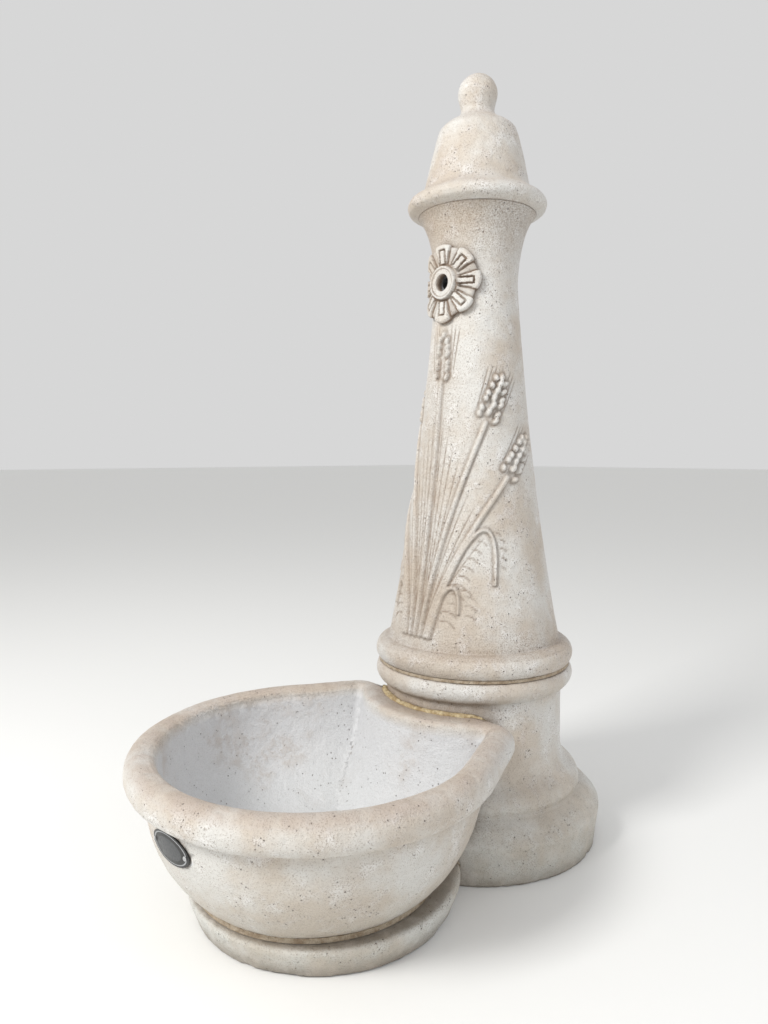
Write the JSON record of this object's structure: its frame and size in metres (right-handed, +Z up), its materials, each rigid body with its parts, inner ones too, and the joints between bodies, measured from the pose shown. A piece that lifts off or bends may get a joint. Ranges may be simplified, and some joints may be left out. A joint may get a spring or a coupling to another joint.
{
  "type": "drinking fountain",
  "caption": "Free-standing cast-stone garden drinking fountain: tapered column with a loose bell cap, a round tap outlet in a rosette, and a round basin on its own foot.",
  "frame": {"origin": "centre of the fountain's bounding box, on the ground", "axes": "+Z up along the column; front of the basin and the tap outlet face -Y; +X to the right of a viewer who looks along +Y"},
  "size_m": [0.462, 0.7139, 1.1],
  "materials": {
    "cap_stone": "rough cast stone",
    "shaft_stone": "rough cast stone",
    "pedestal_stone": "rough cast stone",
    "basin_stone": "rough cast stone",
    "foot_stone": "rough cast stone",
    "rosette_stone": "cast stone",
    "mortar": "rough mortar",
    "brass": "machined",
    "zinc_steel": "zinc plated",
    "steel": "brushed stainless",
    "rubber": "matt",
    "plate_black": "satin",
    "rivet_aluminium": "bright"
  },
  "bodies": {
    "fountain": {"pedestal": "pedestal_stone", "shaft": "shaft_stone", "shaft_bed_mortar": "mortar", "rosette": "rosette_stone", "rosette_bedding": "mortar", "basin": "basin_stone", "basin_back_mortar": "mortar", "basin_foot": "foot_stone", "foot_back_mortar": "mortar", "foot_bed_mortar": "mortar", "outlet_extension": "zinc_steel", "outlet_elbow": "brass", "outlet_grout": "mortar", "riser_pipe": "zinc_steel", "inlet_coupling": "brass", "waste_body": "steel", "waste_seals": "rubber", "waste_nut": "brass", "nameplate": "plate_black", "nameplate_rivets": "rivet_aluminium"},
    "cap": {"cap": "cap_stone"},
    "grate": {"waste_grate": "steel"}
  },
  "joints": [
    {"name": "cap_lift", "type": "slide", "parent": "fountain", "child": "cap", "axis": [0, 0, 1], "range_m": [0, 0.08]},
    {"name": "grate_lift", "type": "slide", "parent": "fountain", "child": "grate", "axis": [0, 0, 1], "range_m": [0, 0.16]}
  ]
}
